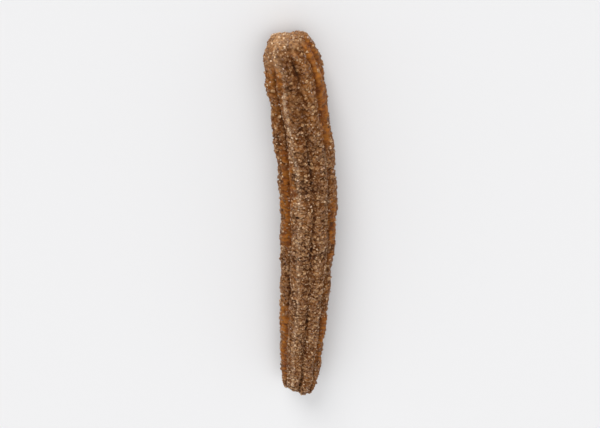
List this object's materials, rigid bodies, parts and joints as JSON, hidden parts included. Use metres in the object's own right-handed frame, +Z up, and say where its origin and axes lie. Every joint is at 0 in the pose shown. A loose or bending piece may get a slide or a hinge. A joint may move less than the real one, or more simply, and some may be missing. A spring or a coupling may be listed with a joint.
{
  "type": "churro",
  "caption": "Long stick of fried dough with rounded star ridges, blunt puffed ends and a gentle bow, rolled in cinnamon sugar, lying on its side.",
  "frame": {"origin": "on the surface the churro lies on, under the middle of its box", "axes": "+Y along the churro, towards the end that stood uppermost; +Z up, towards the side that showed; +X to the right seen along +Y, towards the outside of the bow"},
  "size_m": [0.032, 0.2132, 0.0266],
  "materials": {
    "fried_dough": "browned crust, dull with faint oil sheen in the grooves, dusted with cinnamon",
    "sugar_crystals": "granulated sugar, small shiny cuboid grains tinted by cinnamon",
    "ground_cinnamon": "fine dull powder specks"
  },
  "bodies": {
    "root": {"churro": "fried_dough"}
  },
  "joints": []
}
